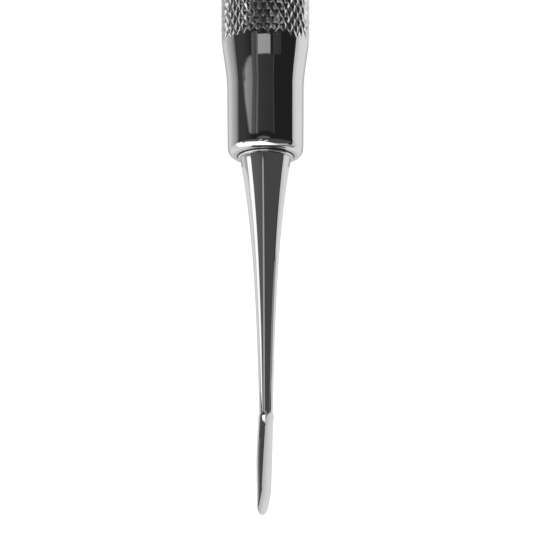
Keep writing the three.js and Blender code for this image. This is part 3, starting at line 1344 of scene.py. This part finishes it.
@dataclass
class Studio:
    """A pale floor under soft light, the dim room and the cards that the steel mirrors, and the camera.

    Stops beside the tool pair a distance across from its axis, in millimetres, with a radiance.
    Stops of the room pair one part of a unit direction with a radiance, or for the corners with a
    share of the light along the tool. Distances of cards are from the tool's axis.
    """

    setting: Setting
    view: View
    handle: Handle
    tip: WorkingTip
    floor_size: float = 9.0
    floor_colour: str = "#E8E8E8"
    floor_glow: float = 0.62
    dome_strength: float = 0.8
    room_across: Stops = ((-1, 0.055), (-0.9, 0.055), (-0.6, 0.02), (1, 0.02))
    room_along: Stops = (
        (-1, 0.35), (-0.93, 0.3), (-0.8, 0.03), (-0.4, 0), (0.35, 0), (0.6, 0.45), (1, 0.45)
    )
    room_corners: Stops = ((0, 0.12), (0.6, 0.15), (0.85, 0.9), (1, 1))
    mirrored_height: float = 0.004 * MM
    # Painted shadow: both sheets are dark within a few millimetres of the tool's axis, as the tool's shadow
    # on the floor; painted shade darkens them further out, most to the left.
    beside_handle: Stops = (
        *((-300, 0.16), (-60, 0.3), (-18, 0.56), (-11, 0.8), (-8, 0.95), (-6, 0.35)),
        *((6, 0.35), (8, 0.95), (25, 0.95), (60, 0.75), (300, 0.7)),
    )
    beside_tip: Stops = (
        *((-300, 0.2), (-60, 0.5), (-20, 0.85), (-8, 1.0), (-3, 0.65)),
        *((3, 0.6), (5.5, 0.97), (13, 0.94), (27, 0.8), (60, 0.7), (300, 0.6)),
    )
    nose_card_distance: float = 12 * MM
    rim_gap: float = 0.2 * MM
    rim_width: float = 0.12
    pane_share: tuple[float, float] = (0.93, 0.98)
    strip_distance: float = 15 * MM
    line_distance: float = 22.5 * MM
    border_distance: float = 24 * MM
    dim_distance: float = 30 * MM
    sensor: float = 36.0
    far_limit: float = 100.0

    def floor(self) -> None:
        """Lay the floor, of matt pale card that the light fills evenly."""
        Modelling.deselect()
        bpy.ops.mesh.primitive_plane_add(size=self.floor_size)
        floor = bpy.context.object
        floor.name = "floor"
        material = bpy.data.materials.new("matt_white_card")
        material.use_nodes = True
        tree = material.node_tree
        tree.nodes.clear()
        matt = add_node(tree, "ShaderNodeBsdfDiffuse", {"Color": linear(self.floor_colour)})
        shine = add_node(tree, "ShaderNodeEmission", {"Strength": self.floor_glow})
        lit = {0: matt.outputs["BSDF"], 1: shine.outputs["Emission"]}
        both = add_node(tree, "ShaderNodeAddShader", links=lit)
        add_node(tree, "ShaderNodeOutputMaterial", links={"Surface": both.outputs["Shader"]})
        floor.data.materials.append(material)

    def mirrored_floor(self) -> list[Panel]:
        """Lay out what the steel mirrors of the floor.

        Returns:
            Two sheets, graded across with a painted shadow of the tool along its axis, that meet at the
            nose and lie just above the floor.
        """
        half = self.floor_size / 2 / MM
        level = (self.mirrored_height - self.setting.axis_height) / MM
        behind = rectangle((-half, 0, level), (half, half, level))
        before = rectangle((-half, -half, level), (half, 0, level))
        return [
            Panel("floor_beside_handle", behind, self.beside_handle, SIDE),
            Panel("floor_beside_tip", before, self.beside_tip, SIDE),
        ]

    def room(self) -> None:
        """Fill the floor and the view with white light, and keep reflections of the room dark."""
        world = bpy.data.worlds.new("studio")
        world.use_nodes = True
        world.cycles.sampling_method = "NONE"
        bpy.context.scene.world = world
        tree = world.node_tree
        tree.nodes.clear()
        white = add_node(tree, "ShaderNodeBackground", {"Strength": self.dome_strength})
        white.inputs["Color"].default_value = (1, 1, 1, 1)
        looking = add_node(tree, "ShaderNodeTexCoord").outputs["Generated"]
        parts = add_node(tree, "ShaderNodeSeparateXYZ", links={0: looking}).outputs
        sideways = add_node(tree, "ShaderNodeMath", {"operation": "ABSOLUTE"}, {0: parts["X"]})
        sums = {
            0: graded(tree, parts["Y"], self.room_along),
            1: graded(tree, sideways.outputs["Value"], self.room_corners),
            2: graded(tree, parts["X"], self.room_across),
        }
        total = add_node(tree, "ShaderNodeVectorMath", {"operation": "MULTIPLY_ADD"}, sums)
        dark = add_node(tree, "ShaderNodeBackground", links={"Color": total.outputs["Vector"]})
        mirrored = add_node(tree, "ShaderNodeLightPath").outputs["Is Glossy Ray"]
        halves = {0: mirrored, 1: white.outputs["Background"], 2: dark.outputs["Background"]}
        mixed = add_node(tree, "ShaderNodeMixShader", links=halves)
        add_node(tree, "ShaderNodeOutputWorld", links={"Surface": mixed.outputs["Shader"]})

    def camera(self) -> None:
        """Set the camera up at the photograph's angle."""
        view = self.view
        Modelling.deselect()
        bpy.ops.object.camera_add(location=view.place)
        camera = bpy.context.object
        camera.name = "camera"
        camera.rotation_euler = (math.pi / 2 - view.elevation, 0, 0)
        camera.rotation_euler.rotate_axis("Z", view.roll)
        camera.data.sensor_width = self.sensor
        camera.data.lens = self.sensor * view.distance / view.frame_width
        camera.data.clip_end = self.far_limit
        bpy.context.scene.camera = camera

    def nose_cards(self) -> list[Card]:
        """Return what the nose and flare of the handle mirror.

        Returns:
            A tall window and its frame on the left, a lit block overhead, which the rounded end
            shows again, and the dim ceiling beside and before it.
        """
        profile, near = self.handle.profile, self.nose_card_distance
        # Spots along the tool: past the rounded end, at the lit block's start and at the knurl's.
        front, block, back = 1.15, 10.1, 12.6
        rim = (
            *((-1.6, 1.12), (-1.8, 1.5), (-2.0, 3.2), (-2.28, 5.3)),
            *((-2.42, 7.4), (-2.32, 8.9), (-1.9, 9.9), (-1.52, block)),
        )
        narrower, shorter = self.pane_share
        pane = tuple(
            (max(across + self.rim_width, across * narrower), along * shorter) for across, along in rim
        )
        again = ((-0.8, 0.78), (0.4, 0.78), (0.5, 0.9), (0.2, 1), (-0.3, 1.04), (-0.7, 1), (-0.95, 0.88))

        def strip(left: float, right: float, start: float, end: float) -> Stops:
            """Return the spots of a card that shows as an upright strip."""
            return ((left, start), (right, start), (right, end), (left, end))

        return [
            Card("window_rim", profile, near + self.rim_gap, rim, 0.14, 0.2),
            Card("left_window", profile, near, pane, 0.42, 0.24),
            Card("window_frame", profile, near, strip(-1.52, -1.08, front, back), 0.14, 0.09),
            Card("frame_edge", profile, near, strip(-1.04, -0.82, front, back), 0.2, 0.12),
            Card("block_overhead", profile, near, strip(-0.87, 0.53, block, 12.25), 0.45, 0.42),
            Card("ceiling", profile, near, strip(-0.8, 0.86, 1.2, block), 0.055, 0.04),
            Card("ceiling_edge", profile, near, strip(0.86, 0.94, 1.2, block), 0.09),
            Card("beside_block", profile, near, strip(0.8, 1.68, block, back), 0.055, 0.045),
            Card("block_again", profile, near, again, 0.12, 0.17),
        ]

    def shank_cards(self) -> list[Card]:
        """Return what the shank mirrors.

        Returns:
            A lit strip, a thin line beside the middle, the dim room on both sides of the line and a
            grey border on the right.
        """
        profile = self.tip.profile
        strip = (
            *((-2.02, -0.6), (-1.63, -4.21), (-1.18, -9.4), (-0.89, -14.7), (-0.69, -19.9), (-0.48, -28.4)),
            *((-0.37, -28.4), (-0.49, -20), (-0.66, -14.7), (-0.89, -9.5), (-1.24, -4.3), (-1.6, -0.6)),
        )
        line = ((-0.36, -0.9), (-0.22, -0.9), (-0.14, -12), (-0.12, -30), (-0.26, -30), (-0.3, -12))
        left = ((-1.75, -0.4), (-0.3, -0.4), (-0.18, -14), (-0.18, -34), (-0.4, -32), (-0.95, -9.5))
        right = (
            (-0.3, -0.4), (1.9, -0.4), (1.02, -9.5), (0.72, -15), (0.36, -40), (-0.2, -40), (-0.2, -14)
        )
        border = ((0.9, -12), (0.95, -12), (0.72, -29.4), (0.36, -29.4), (0.55, -20))
        return [
            Card("lit_strip", profile, self.strip_distance, strip, 1.45),
            Card("lit_line", profile, self.line_distance, line, 0.5),
            Card("dim_left", profile, self.dim_distance, left, 0.16, 0.11),
            Card("dim_right", profile, self.dim_distance, right, 0.085),
            Card("grey_border", profile, self.border_distance, border, 0.35, 0.45),
        ]

    @staticmethod
    def panels() -> list[Panel]:
        """Return what the rounded end, the bead, the knurl and the blade's side mirror.

        Returns:
            Bright lights over the shank and beside the knurl, and shades that keep them out of the
            nose's end face and the blade's heel.
        """
        wedge = ((-22, -5, 4.5), (-22, -5, 14), (-1, -5, 14), (4, -5, 8.2), (15, -5, 7), (15, -5, 4.5))
        wedge_stops = ((-22, 1.9), (0, 1.9), (3.3, 1.2), (5, 0.65), (15, 0.5))
        collar = (
            *((-2.2, -1.2, 1.85), (-1.8, -1.4, 3.85), (1.9, -1.4, 3.85), (3.1, -1.235, 2.2)),
            *((2.2, -1.2, 1.85), (1.2, -1.265, 2.5), (-1.2, -1.265, 2.5)),
        )
        corners = ((-27, -2), (-27, 4.7), (-24.9, 6), (-24.2, 4.6), (-23.8, 3.4), (-23.2, 2), (-23.2, -2))
        heel = tuple((-13.5, along, up) for along, up in corners)
        grip = rectangle((-80, 92, 200), (80, 165, 200))
        darker_above = ((-4.3, 0.4), (4, 0.16), (11, 0.06), (25, 0.05))
        return [
            Panel("light_over_shank", wedge, wedge_stops, SIDE),
            Panel("light_over_bead", rectangle((-1.2, -5, 16), (2.4, -5, 22)), even(0.9)),
            Panel("shade_before_end_face", collar, even(0.04)),
            Panel("light_beside_knurl", rectangle((-12, 14.6, 1), (-12, 20, 4)), even(1.6)),
            Panel("softbox_over_grip", grip, ((-80, 0.75), (80, 0.55)), SIDE),
            Panel("dim_light_beside_knurl", rectangle((12, 14.6, 1), (12, 19, 3)), even(1.6)),
            Panel("beside_blade", rectangle((-25, -34, -4.3), (-25, -20.5, 25)), darker_above),
            Panel("shade_beside_heel", heel, ((-2, 0.16), (4, 0.08), (6, 0.08))),
            Panel("light_before_heel", rectangle((-25, -48, 2), (-25, -35, 20)), even(0.9)),
        ]

    def build(self) -> None:
        """Set the stage."""
        bpy.context.scene.view_settings.view_transform = "Standard"
        self.room()
        self.floor()
        for card in [*self.nose_cards(), *self.shank_cards()]:
            card.build(self.view)
        for panel in [*self.mirrored_floor(), *self.panels()]:
            panel.build(self.setting.nose)
        self.camera()


def main() -> None:
    """Build the tool and its stage, and log the number of faces of each piece."""
    logging.basicConfig(level=logging.INFO, format="%(message)s")
    setting = Setting.from_frame()
    handle, tip = Handle(setting), WorkingTip(setting)
    for maker in (handle, tip, EndPlug(setting)):
        piece = maker.build()
        log.info("%s: %d faces", piece.name, len(piece.data.polygons))
    Studio(setting, View(setting), handle, tip).build()


if __name__ == "__main__":
    main()
